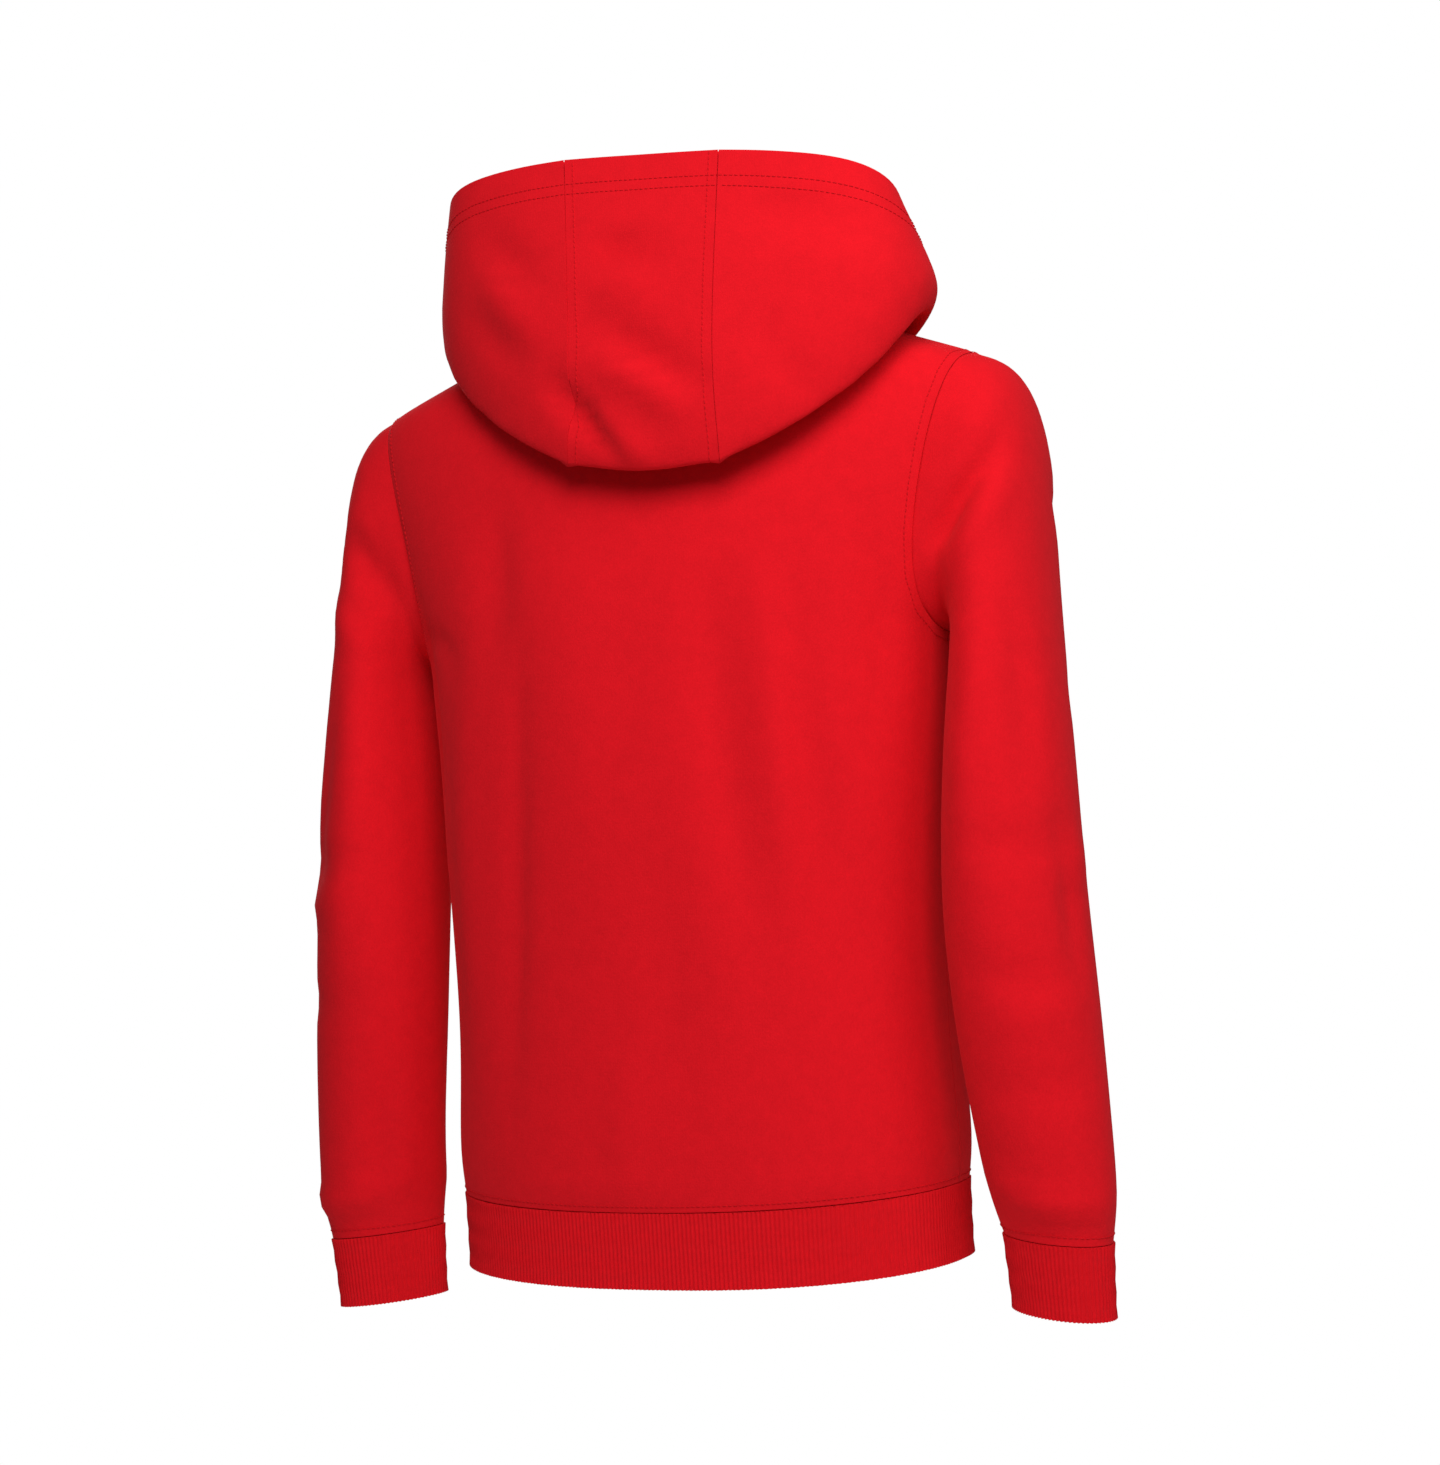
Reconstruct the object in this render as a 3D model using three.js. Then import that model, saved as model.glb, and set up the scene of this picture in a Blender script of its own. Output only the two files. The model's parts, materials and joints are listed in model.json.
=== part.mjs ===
// A child's pullover hoodie for a height of about 134 cm, filled out as if worn, with its hood down.
// Millimetres, +Z up, +X to the wearer's left, and the garment faces -Y.
// The origin is the centre of the neck opening, level with the high points of the shoulder seams.
import * as THREE from "three";

// Driving sizes.
const BODY_LENGTH = 552; // high point of the shoulder to the lower edge of the hem band
const HEM_BAND_HEIGHT = 43;
const HEM_DROP = 5; // the band hangs this much lower at the middle of the back and front
const CUFF_LENGTH = 42;
const NECK_HALF_WIDTH = 72;
const BACK_NECK_DROP = 15;
const FRONT_NECK_DROP = 70;
const SHOULDER_HALF_WIDTH = 185;
const SHOULDER_DROP = 42;
const ARMPIT_Z = -200;
const WALL = 2; // brushed fleece
const RIB_WALL = 2.4; // doubled rib knit
const SEAM_GAP = 0.3; // between neighbouring pieces
const RIB_PITCH = 2.6;
const RIB_RISE = 0.7;
const HOOD_HEM_WALL = 3.4; // the turned edge of the hood opening is two layers
const HOOD_LIFT = 2.5; // the hood lies this far off the body where it rests on it
const PANEL_EXPONENT = 2.4; // above 2 makes the back and the front flatter than an ellipse
const NECKLINE_EXPONENT = 1.5;
const COLOUR = { fleece: "#d3161f", rib: "#c8151d" };

// How finely the sheets are divided.
const NECK_STEPS = 8; // from the middle of a panel to the neck point
const SHOULDER_STEPS = 6; // along one shoulder seam
const ARMHOLE_STEPS = 10; // from the armpit to the tip of the shoulder
const SIDE_STEPS = 8; // from the hem seam to the armpit
const SLEEVE_STEPS = 18; // from the armhole to the cuff
const RING_SAMPLES = 360; // points that measure round a cuff or the hem band
const INNER_STEPS = { cuff: 24, hemBand: 56 };
const HOOD_ROWS = [0, 0.1, 0.2, 0.3, 0.39, 0.46, 0.52, 0.59, 0.67, 0.76, 0.86, 0.95, 1];
const HOOD_HEM_ROWS = 2; // the rows that the turned edge takes up, 22 mm
const HOOD_SEAM_STEP = 2; // the centre panel reaches this many steps to each side of the middle
// Powers that draw rows or columns closer together where the cloth bends most.
const NECK_CROWDING = 1.6; // towards the neck point
const HEM_CROWDING = 1.25; // towards the hem seam
const ARMHOLE_CROWDING = 1.3; // towards the armhole
const SHOULDER_CROWDING = 3; // how late the columns of a panel gather to their shoulder places

const HEM_SEAM_Z = HEM_BAND_HEIGHT - BODY_LENGTH;
const ARMHOLE_MIDDLE_Z = (ARMPIT_Z - SHOULDER_DROP) / 2;
const ARMHOLE_HALF_HEIGHT = (-SHOULDER_DROP - ARMPIT_Z) / 2;

// Level sections of the body, from the neck down. backY and frontY are the middles of the back and
// the front, and sideY is the fore-and-aft place of the shoulder ridge and the side seam.
const BODY_SECTIONS = [
  { z: 8, halfWidth: 50, backY: 40, frontY: -36, sideY: 0 },
  { z: 0, halfWidth: NECK_HALF_WIDTH, backY: 46, frontY: -40, sideY: 0 },
  { z: -20, halfWidth: 126, backY: 56, frontY: -48, sideY: 0 },
  { z: -SHOULDER_DROP, halfWidth: SHOULDER_HALF_WIDTH, backY: 64, frontY: -58, sideY: 0 },
  { z: -70, halfWidth: 198, backY: 74, frontY: -72, sideY: 0 },
  { z: -115, halfWidth: 187, backY: 85, frontY: -88, sideY: 0 },
  { z: -160, halfWidth: 172, backY: 94, frontY: -97, sideY: 1 },
  { z: ARMPIT_Z, halfWidth: 163, backY: 99, frontY: -101, sideY: 2 },
  { z: -270, halfWidth: 158, backY: 104, frontY: -99, sideY: 5 },
  { z: -350, halfWidth: 153, backY: 105, frontY: -93, sideY: 8 },
  { z: -430, halfWidth: 151, backY: 106, frontY: -88, sideY: 11 },
  { z: -488, halfWidth: 155, backY: 108, frontY: -86, sideY: 12 },
  { z: HEM_SEAM_Z, halfWidth: 153, backY: 106, frontY: -82, sideY: 13 },
  { z: -BODY_LENGTH, halfWidth: 152, backY: 104, frontY: -80, sideY: 13 },
];

// Armhole edges, as seen from behind and from the front, from the tip of the shoulder down.
const BACK_ARMHOLE = [
  { z: -SHOULDER_DROP, x: SHOULDER_HALF_WIDTH },
  { z: -70, x: 176 },
  { z: -110, x: 166 },
  { z: -150, x: 159 },
  { z: -180, x: 158 },
  { z: ARMPIT_Z, x: 163 },
];
const FRONT_ARMHOLE = [
  { z: -SHOULDER_DROP, x: SHOULDER_HALF_WIDTH },
  { z: -70, x: 170 },
  { z: -110, x: 155 },
  { z: -150, x: 149 },
  { z: -180, x: 153 },
  { z: ARMPIT_Z, x: 163 },
];

// Rings of the left sleeve. out and in are the ring's ends away from and towards the body, midY and
// halfDepth place it fore and aft, and twist turns its outer end backwards, in degrees.
const SLEEVE_RINGS = [
  { at: 0, outX: 185, outZ: -42, inX: 163, inZ: -200, midY: -4, halfDepth: 55, twist: 0 },
  { at: 0.05, outX: 202, outZ: -49, inX: 168, inZ: -198, midY: -8, halfDepth: 59, twist: 0 },
  { at: 0.1, outX: 213, outZ: -66, inX: 170, inZ: -201, midY: -8, halfDepth: 62, twist: 0 },
  { at: 0.17, outX: 220, outZ: -101, inX: 170, inZ: -210, midY: -5, halfDepth: 62, twist: 0 },
  { at: 0.26, outX: 223, outZ: -148, inX: 168, inZ: -227, midY: 4, halfDepth: 60, twist: 0 },
  { at: 0.36, outX: 228, outZ: -204, inX: 166, inZ: -252, midY: 14, halfDepth: 58, twist: 0 },
  { at: 0.48, outX: 235, outZ: -270, inX: 164, inZ: -297, midY: 25, halfDepth: 54, twist: 2 },
  { at: 0.6, outX: 240, outZ: -340, inX: 163, inZ: -353, midY: 32, halfDepth: 49, twist: 6 },
  { at: 0.73, outX: 246, outZ: -412, inX: 166, inZ: -416, midY: 34, halfDepth: 43, twist: 12 },
  { at: 0.86, outX: 250, outZ: -480, inX: 172, inZ: -476, midY: 33, halfDepth: 37, twist: 20 },
  { at: 0.96, outX: 252, outZ: -528, inX: 176, inZ: -522, midY: 29, halfDepth: 31, twist: 26 },
  { at: 1, outX: 249, outZ: -540, inX: 179, inZ: -534, midY: 27, halfDepth: 27, twist: 28 },
];
const CUFF_END = { outX: 246, inX: 182, midY: 24, halfDepth: 24, twist: 28 };
const ARMHOLE_REACH = 0.34; // the share of the sleeve over which the armhole's own shape fades out

// The hood from the middle of its back (0) round to the middle of its front (1), in four curves: the
// roll where it turns over above the neck seam, the fold that hangs lowest, the fullest line and the
// edge of the opening.
const HOOD_ROLL = [
  { at: 0, x: 0, y: 62, z: -4 },
  { at: 0.125, x: 37, y: 60, z: -3 },
  { at: 0.25, x: 60, y: 50, z: 2 },
  { at: 0.375, x: 75, y: 30, z: 8 },
  { at: 0.5, x: 82, y: 3, z: 12 },
  { at: 0.625, x: 80, y: -24, z: 6 },
  { at: 0.75, x: 65, y: -50, z: -14 },
  { at: 0.875, x: 36, y: -72, z: -42 },
  { at: 1, x: 0, y: -80, z: -63 },
];
const HOOD_FOLD = [
  { at: 0, x: 0, y: 104, z: -106 },
  { at: 0.125, x: 47, y: 101, z: -100 },
  { at: 0.25, x: 89, y: 90, z: -80 },
  { at: 0.375, x: 128, y: 68, z: -50 },
  { at: 0.5, x: 149, y: 38, z: -17 },
  { at: 0.625, x: 144, y: 0, z: -12 },
  { at: 0.75, x: 114, y: -44, z: -28 },
  { at: 0.875, x: 62, y: -78, z: -50 },
  { at: 1, x: 0, y: -88, z: -64 },
];
const HOOD_BULGE = [
  { at: 0, x: 0, y: 111, z: -42 },
  { at: 0.125, x: 44, y: 109, z: -40 },
  { at: 0.25, x: 90, y: 97, z: -30 },
  { at: 0.375, x: 131, y: 76, z: -13 },
  { at: 0.5, x: 153, y: 42, z: 7 },
  { at: 0.625, x: 149, y: 0, z: 5 },
  { at: 0.75, x: 120, y: -46, z: -10 },
  { at: 0.875, x: 66, y: -82, z: -36 },
  { at: 1, x: 0, y: -92, z: -58 },
];
const HOOD_RIM = [
  { at: 0, x: 0, y: 86, z: 77 },
  { at: 0.125, x: 48, y: 85, z: 77 },
  { at: 0.25, x: 91, y: 80, z: 74 },
  { at: 0.375, x: 126, y: 68, z: 68 },
  { at: 0.5, x: 142, y: 40, z: 56 },
  { at: 0.625, x: 132, y: 2, z: 34 },
  { at: 0.75, x: 106, y: -36, z: 8 },
  { at: 0.875, x: 58, y: -68, z: -22 },
  { at: 1, x: 0, y: -86, z: -46 },
];
const HOOD_SLIP = -24; // the hood hangs this far to the wearer's right of the middle at the back
const HOOD_TILT = 0.08; // and its left side is this much higher for its distance from the middle
const HOOD_SLIP_SHARES = [0.4, 0.95, 1.15, 1]; // of the roll, the fold, the fullest line and the edge

// The other columns of a table as smooth curves of one of them.
function tableCurve(table, along) {
  const rows = [...table].sort((a, b) => a[along] - b[along]);
  const columns = Object.keys(rows[0]).filter((name) => name !== along);
  const places = rows.map((row) => row[along]);
  const values = rows.flatMap((row) => columns.map((name) => row[name]));
  const curve = new THREE.CubicInterpolant(places, values, columns.length);
  return (place) => {
    const found = curve.evaluate(place);
    return Object.fromEntries(columns.map((name, i) => [name, found[i]]));
  };
}

const bodyTable = tableCurve(BODY_SECTIONS, "z");
const sleeveRing = tableCurve(SLEEVE_RINGS, "at");
const hoodCurves = [HOOD_ROLL, HOOD_FOLD, HOOD_BULGE, HOOD_RIM].map((table) => tableCurve(table, "at"));

// A level section of the body. Above the tip of the shoulder its ends follow the straight shoulder seam.
function bodySection(z) {
  const section = bodyTable(z);
  const climb = (z + SHOULDER_DROP) / SHOULDER_DROP;
  if (climb > 0) section.halfWidth = THREE.MathUtils.lerp(SHOULDER_HALF_WIDTH, NECK_HALF_WIDTH, climb);
  return section;
}

function steps(count) {
  return Array.from({ length: count + 1 }, (unused, i) => i / count);
}

// The unit vector that stands square on a grid of points, out of the cloth, at each of them.
function outwardNormals(rows, closed) {
  return rows.map((row, i) => {
    const below = rows[Math.max(i - 1, 0)];
    const above = rows[Math.min(i + 1, rows.length - 1)];
    return row.map((point, j) => {
      const last = row.length - 1;
      const before = closed ? (j + last) % row.length : Math.max(j - 1, 0);
      const after = closed ? (j + 1) % row.length : Math.min(j + 1, last);
      const across = row[after].clone().sub(row[before]);
      const up = above[j].clone().sub(below[j]);
      return across.cross(up).normalize();
    });
  });
}

// The inner points of a wall, each its own row's thickness behind the outer point.
function innerPoints(rows, closed, thickness = () => WALL) {
  const normals = outwardNormals(rows, closed);
  const behind = (point, i, j) => point.clone().addScaledVector(normals[i][j], -thickness(i));
  return rows.map((row, i) => row.map((point, j) => behind(point, i, j)));
}

// The faces between two rows of corners that differ in number, each row taken at its own pace.
function unevenStrip(lower, upper) {
  const faces = [];
  let i = 0;
  let j = 0;
  while (i < lower.length || j < upper.length) {
    const corner = lower[i % lower.length];
    const opposite = upper[j % upper.length];
    const lowerIsBehind = (i + 0.5) / lower.length <= (j + 0.5) / upper.length;
    if (j === upper.length || (i < lower.length && lowerIsBehind)) {
      i += 1;
      faces.push(corner, lower[i % lower.length], opposite);
    } else {
      j += 1;
      faces.push(corner, upper[j % upper.length], opposite);
    }
  }
  return faces;
}

// The faces between two rows of corners, each four split along the shorter diagonal.
function strip(points, lower, upper, closed) {
  if (lower.length !== upper.length) return unevenStrip(lower, upper);
  const faces = [];
  for (let i = closed ? 0 : 1; i < lower.length; i += 1) {
    const before = (i + lower.length - 1) % lower.length;
    const [a, b, c, d] = [lower[before], lower[i], upper[i], upper[before]];
    const rising = points[a].distanceToSquared(points[c]);
    const falling = points[b].distanceToSquared(points[d]);
    faces.push(...(rising < falling ? [a, b, c, a, c, d] : [a, b, d, b, c, d]));
  }
  return faces;
}

function sheetFaces(points, rows, closed) {
  return rows.slice(1).flatMap((row, i) => strip(points, rows[i], row, closed));
}

// A closed wall between an outer and an inner grid of points. Rows run upwards and, seen from
// outside, columns run to the right. Where both grids are divided alike, so are their faces.
function wall({ outer, inner }, closed) {
  const points = [...outer.flat(), ...inner.flat()];
  const number = (rows, start) => rows.map((row, i) => row.map((point, j) => start + i * row.length + j));
  const out = number(outer, 0);
  const back = number(inner, outer.flat().length);
  const alike = outer.length === inner.length && outer[0].length === inner[0].length;
  const outside = sheetFaces(points, out, closed);
  const inside = alike ? outside.map((corner) => corner + back[0][0]) : sheetFaces(points, back, closed);
  const faces = [...outside, ...inside.reverse()];
  faces.push(...strip(points, back[0], out[0], closed));
  faces.push(...strip(points, out.at(-1), back.at(-1), closed));
  if (!closed) {
    const column = (rows, j) => rows.map((row) => row.at(j));
    faces.push(...strip(points, column(out, 0), column(back, 0), false));
    faces.push(...strip(points, column(back, -1), column(out, -1), false));
  }
  const geometry = new THREE.BufferGeometry().setFromPoints(points);
  geometry.setIndex(faces);
  return geometry;
}

// The same piece for the other side of the body.
function mirrored(geometry) {
  const other = geometry.clone().scale(-1, 1, 1);
  other.setIndex([...geometry.index.array].reverse());
  return other;
}

// The end of the next piece at a seam: both edges of a wall's end, moved off it by the seam gap.
// The edges run so that, seen from outside, the next piece lies on their right.
function acrossSeam(edge, closed) {
  const last = edge.outer.length - 1;
  const moved = { outer: [], inner: [] };
  edge.outer.forEach((point, i) => {
    const before = edge.outer[closed ? (i + last) % edge.outer.length : Math.max(i - 1, 0)];
    const after = edge.outer[closed ? (i + 1) % edge.outer.length : Math.min(i + 1, last)];
    const through = point.clone().sub(edge.inner[i]);
    const away = after.clone().sub(before).cross(through).normalize();
    moved.outer.push(point.clone().addScaledVector(away, SEAM_GAP));
    moved.inner.push(edge.inner[i].clone().addScaledVector(away, SEAM_GAP));
  });
  return moved;
}

// The body's own form, at side 1 for the back and -1 for the front.
function bodyPoint(x, z, side) {
  const section = bodySection(z);
  const middle = side > 0 ? section.backY : section.frontY;
  const share = Math.max(0, 1 - Math.abs(x / section.halfWidth) ** PANEL_EXPONENT);
  const y = section.sideY + (middle - section.sideY) * share ** (1 / PANEL_EXPONENT);
  return new THREE.Vector3(x, y + (side * SEAM_GAP) / 2, z);
}

// The top edge of half a panel, from the middle to the tip of the shoulder.
function topEdge(neckDrop) {
  const neckline = steps(NECK_STEPS).map((t) => {
    const angle = (1 - (1 - t) ** NECK_CROWDING) * (Math.PI / 2);
    const drop = Math.max(0, Math.cos(angle)) ** NECKLINE_EXPONENT;
    return { x: NECK_HALF_WIDTH * Math.sin(angle), z: -neckDrop * drop };
  });
  const seamWidth = SHOULDER_HALF_WIDTH - NECK_HALF_WIDTH;
  const seamStart = Math.asin(NECK_HALF_WIDTH / SHOULDER_HALF_WIDTH);
  const shoulder = steps(SHOULDER_STEPS).slice(1).map((t) => {
    const x = SHOULDER_HALF_WIDTH * Math.sin(seamStart + (Math.PI / 2 - seamStart) * t);
    return { x, z: (-SHOULDER_DROP * (x - NECK_HALF_WIDTH)) / seamWidth };
  });
  return [...neckline, ...shoulder];
}

// The front or the back: level at the hem seam, bowed up to the neckline and the shoulder seams.
function bodyPanel(side) {
  const top = topEdge(side > 0 ? BACK_NECK_DROP : FRONT_NECK_DROP);
  const armhole = tableCurve(side > 0 ? BACK_ARMHOLE : FRONT_ARMHOLE, "z");
  const seamRows = steps(SIDE_STEPS).map((t) => {
    const z = HEM_SEAM_Z + (ARMPIT_Z - HEM_SEAM_Z) * t ** HEM_CROWDING;
    return { z, x: bodySection(z).halfWidth };
  });
  const armholeRows = steps(ARMHOLE_STEPS).slice(1).map((t) => {
    const z = ARMHOLE_MIDDLE_Z - ARMHOLE_HALF_HEIGHT * Math.cos(t * Math.PI);
    return { z, x: armhole(z).x };
  });
  const half = top.length - 1;
  const outer = [...seamRows, ...armholeRows].map((edge) => {
    const height = (edge.z - HEM_SEAM_Z) / (-SHOULDER_DROP - HEM_SEAM_Z);
    const row = [];
    for (let j = -half; j <= half; j += 1) {
      const above = top[Math.abs(j)];
      const evenly = Math.sin((Math.abs(j) / half) * (Math.PI / 2));
      const share = THREE.MathUtils.lerp(evenly, above.x / SHOULDER_HALF_WIDTH, height ** SHOULDER_CROWDING);
      const foot = HEM_SEAM_Z - HEM_DROP * (1 - evenly ** 2);
      const z = foot + (above.z - foot) * height;
      row.push(bodyPoint(-side * Math.sign(j) * share * edge.x, z, side));
    }
    return row;
  });
  const inner = innerPoints(outer, false);
  for (const point of inner.flat()) {
    const middle = bodySection(point.z).sideY;
    if (side * (point.y - middle) < SEAM_GAP / 2) point.y = middle + (side * SEAM_GAP) / 2;
  }
  return { outer, inner };
}

// The loop round the left armhole, from the tip of the shoulder down the back and up the front.
function armholeEdge(back, front, grid) {
  const column = (panel, j) => panel[grid].slice(SIDE_STEPS).map((row) => row.at(j)).reverse();
  const behind = column(back, 0);
  const before = column(front, -1);
  const between = (a, b) => a.clone().lerp(b, 0.5);
  const tip = between(behind[0], before[0]);
  const armpit = between(behind.at(-1), before.at(-1));
  return [tip, ...behind.slice(1, -1), armpit, ...before.slice(1, -1).reverse()];
}

// A point of a ring of the sleeve or the cuff, at an angle from its outer end round by the back.
function ringPoint(ring, angle) {
  const centre = new THREE.Vector3((ring.outX + ring.inX) / 2, ring.midY, (ring.outZ + ring.inZ) / 2);
  const across = new THREE.Vector3(ring.outX - ring.inX, 0, ring.outZ - ring.inZ).divideScalar(2);
  const arm = across.clone().cross(new THREE.Vector3(0, 1, 0)).normalize();
  const depth = new THREE.Vector3(0, ring.halfDepth, 0);
  const turn = THREE.MathUtils.degToRad(ring.twist);
  across.applyAxisAngle(arm, turn).multiplyScalar(Math.cos(angle));
  depth.applyAxisAngle(arm, turn).multiplyScalar(Math.sin(angle));
  return centre.add(across).add(depth);
}

function sleeve(armhole) {
  const seam = acrossSeam(armhole, true);
  const count = seam.outer.length;
  const angles = seam.outer.map((point, j) => (j / count) * 2 * Math.PI);
  const firstRing = angles.map((angle) => ringPoint(sleeveRing(0), angle));
  const outer = steps(SLEEVE_STEPS).map((t) => {
    const at = t ** ARMHOLE_CROWDING;
    const fade = Math.max(0, 1 - at / ARMHOLE_REACH) ** 2;
    return angles.map((angle, j) => {
      const armholeShape = seam.outer[j].clone().sub(firstRing[j]).multiplyScalar(fade);
      return ringPoint(sleeveRing(at), angle).add(armholeShape);
    });
  }).reverse();
  const inner = innerPoints(outer, true);
  inner[inner.length - 1] = seam.inner;
  return { outer, inner };
}

// A ribbed band between two closed curves: ribs stand on its outer points over a plain inside.
function ribbedBand(lower, upper, innerSteps) {
  const around = (curve, count) => curve.getSpacedPoints(count).slice(0, count);
  const ribs = Math.round(upper.getLength() / RIB_PITCH);
  const outer = [lower, upper].map((curve) => around(curve, ribs * 2));
  const normals = outwardNormals(outer, true);
  outer.forEach((row, i) => {
    row.forEach((point, j) => point.addScaledVector(normals[i][j], (j % 2) * RIB_RISE));
  });
  const inner = innerPoints([lower, upper].map((curve) => around(curve, innerSteps)), true, () => RIB_WALL);
  return { outer, inner };
}

function closedCurve(pointAt) {
  const points = steps(RING_SAMPLES).slice(1).map((t) => pointAt(t * 2 * Math.PI));
  const curve = new THREE.CatmullRomCurve3(points, true);
  curve.arcLengthDivisions = RING_SAMPLES * 4;
  return curve;
}

function cuff() {
  const end = sleeveRing(1);
  const arm = new THREE.Vector3(end.outX - end.inX, 0, end.outZ - end.inZ);
  arm.cross(new THREE.Vector3(0, 1, 0)).normalize();
  const level = (offset) => ({ outZ: end.outZ - arm.z * offset, inZ: end.inZ - arm.z * offset });
  const top = { ...end, ...level(SEAM_GAP) };
  const bottom = { ...CUFF_END, ...level(CUFF_LENGTH) };
  const lower = closedCurve((angle) => ringPoint(bottom, angle));
  const upper = closedCurve((angle) => ringPoint(top, angle));
  return ribbedBand(lower, upper, INNER_STEPS.cuff);
}

function hemBand() {
  const edge = (z) => closedCurve((angle) => {
    const side = Math.sin(angle) < 0 ? -1 : 1;
    const share = Math.cos(angle);
    const x = bodySection(z).halfWidth * Math.sign(share) * Math.abs(share) ** (2 / PANEL_EXPONENT);
    const point = bodyPoint(x, z, side);
    point.z -= HEM_DROP * (1 - share ** 2);
    return point;
  });
  return ribbedBand(edge(-BODY_LENGTH), edge(HEM_SEAM_Z - SEAM_GAP), INNER_STEPS.hemBand);
}

// Moves a point out of the body's form until it lies clear of it.
function liftOffBody(point, clearance) {
  const level = ({ x, y, z }) => {
    const section = bodySection(z);
    const reach = (y > section.sideY ? section.backY : section.frontY) - section.sideY;
    const across = Math.abs(x / section.halfWidth) ** PANEL_EXPONENT;
    const deep = Math.abs((y - section.sideY) / reach) ** PANEL_EXPONENT;
    return (across + deep) ** (1 / PANEL_EXPONENT);
  };
  const probe = 0.5;
  const passes = 4;
  for (let pass = 0; pass < passes; pass += 1) {
    const slope = new THREE.Vector3();
    for (const axis of ["x", "y", "z"]) {
      const ahead = point.clone();
      ahead[axis] += probe;
      slope[axis] = (level(ahead) - level(point)) / probe;
    }
    const distance = (level(point) - 1) / slope.length();
    if (distance < clearance) point.addScaledVector(slope.normalize(), clearance - distance);
  }
  return point;
}

// The left half of the neckline, from the middle of the back round to the middle of the front.
function neckEdge(back, front, grid) {
  const half = NECK_STEPS + SHOULDER_STEPS;
  const behind = back[grid].at(-1).slice(SHOULDER_STEPS, half + 1).reverse();
  const before = front[grid].at(-1).slice(half, half + NECK_STEPS + 1).reverse();
  const neckPoint = behind.at(-1).clone().lerp(before[0], 0.5);
  return [...behind.slice(0, -1), neckPoint, ...before.slice(1)];
}

// A column of the hood: its outer points from the neck seam to the edge of the opening.
function hoodColumn(start, at, side) {
  const controls = hoodCurves.map((curve, level) => {
    const { x, y, z } = curve(at);
    const slip = HOOD_SLIP_SHARES[level] * (1 - at ** 2);
    return new THREE.Vector3(side * x + HOOD_SLIP * slip, y, z + HOOD_TILT * side * x * slip);
  });
  const profile = new THREE.CatmullRomCurve3([start, ...controls], false, "centripetal");
  const points = HOOD_ROWS.map((row) => profile.getPoint(row));
  points.slice(1).forEach((point) => liftOffBody(point, HOOD_LIFT));
  return points;
}

// The whole hood's outer and inner grids, from its left front edge round to its right one.
function hoodSheet(back, front) {
  const neckline = { outer: neckEdge(back, front, "outer"), inner: neckEdge(back, front, "inner") };
  const neck = acrossSeam(neckline, false);
  const middle = neck.outer.length - 1;
  const columns = [];
  const innerStarts = [];
  for (let j = -middle; j <= middle; j += 1) {
    const side = j > 0 ? -1 : 1;
    const place = new THREE.Vector3(side, 1, 1);
    columns.push(hoodColumn(neck.outer[Math.abs(j)].clone().multiply(place), Math.abs(j) / middle, side));
    innerStarts.push(neck.inner[Math.abs(j)].clone().multiply(place));
  }
  const outer = HOOD_ROWS.map((row, i) => columns.map((points) => points[i]));
  const hemStart = HOOD_ROWS.length - HOOD_HEM_ROWS;
  const inner = innerPoints(outer, false, (i) => (i >= hemStart ? HOOD_HEM_WALL : WALL));
  inner[0] = innerStarts;
  for (const row of inner) {
    row[0].x = Math.max(0, row[0].x);
    row.at(-1).x = Math.min(0, row.at(-1).x);
  }
  return { outer, inner, middle };
}

// Some columns of the hood as a panel, with its two ends moved sideways to leave the seam gaps.
function hoodPanel(sheet, start, end, moves) {
  const cut = (rows) => rows.map((row) => {
    const part = row.slice(start, end + 1).map((point) => point.clone());
    part[0].x += moves[0];
    part.at(-1).x += moves[1];
    return part;
  });
  return { outer: cut(sheet.outer), inner: cut(sheet.inner) };
}

function hoodie() {
  const group = new THREE.Group();
  const add = (name, colour, geometry) => {
    geometry.computeVertexNormals();
    const material = new THREE.MeshStandardMaterial({ color: colour, roughness: 0.9, metalness: 0 });
    const mesh = new THREE.Mesh(geometry, material);
    mesh.name = name;
    group.add(mesh);
  };
  const addPair = (name, colour, geometry) => {
    add(`${name}_left`, colour, geometry);
    add(`${name}_right`, colour, mirrored(geometry));
  };
  const back = bodyPanel(1);
  const front = bodyPanel(-1);
  add("back", COLOUR.fleece, wall(back, false));
  add("front", COLOUR.fleece, wall(front, false));
  const armhole = { outer: armholeEdge(back, front, "outer"), inner: armholeEdge(back, front, "inner") };
  addPair("sleeve", COLOUR.fleece, wall(sleeve(armhole), true));
  addPair("cuff", COLOUR.rib, wall(cuff(), true));
  add("hem_band", COLOUR.rib, wall(hemBand(), true));
  const hood = hoodSheet(back, front);
  const [leftSeam, rightSeam] = [hood.middle - HOOD_SEAM_STEP, hood.middle + HOOD_SEAM_STEP];
  const half = SEAM_GAP / 2;
  add("hood_left", COLOUR.fleece, wall(hoodPanel(hood, 0, leftSeam, [half, half]), false));
  add("hood_centre", COLOUR.fleece, wall(hoodPanel(hood, leftSeam, rightSeam, [-half, half]), false));
  add("hood_right", COLOUR.fleece, wall(hoodPanel(hood, rightSeam, hood.middle * 2, [-half, -half]), false));
  return group;
}

export default hoodie();
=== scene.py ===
"""A child's red fleece hoodie, filled out as if worn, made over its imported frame.

Lengths in the tables are millimetres in the row frame: +Z up, +X to the wearer's left, front towards -Y.
"""

import json
import math

import bmesh
import bpy
import numpy as np
from bpy.props import FloatProperty, IntProperty, PointerProperty, StringProperty
from mathutils import Matrix, Vector
from mathutils.bvhtree import BVHTree
from mathutils.kdtree import KDTree

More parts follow.
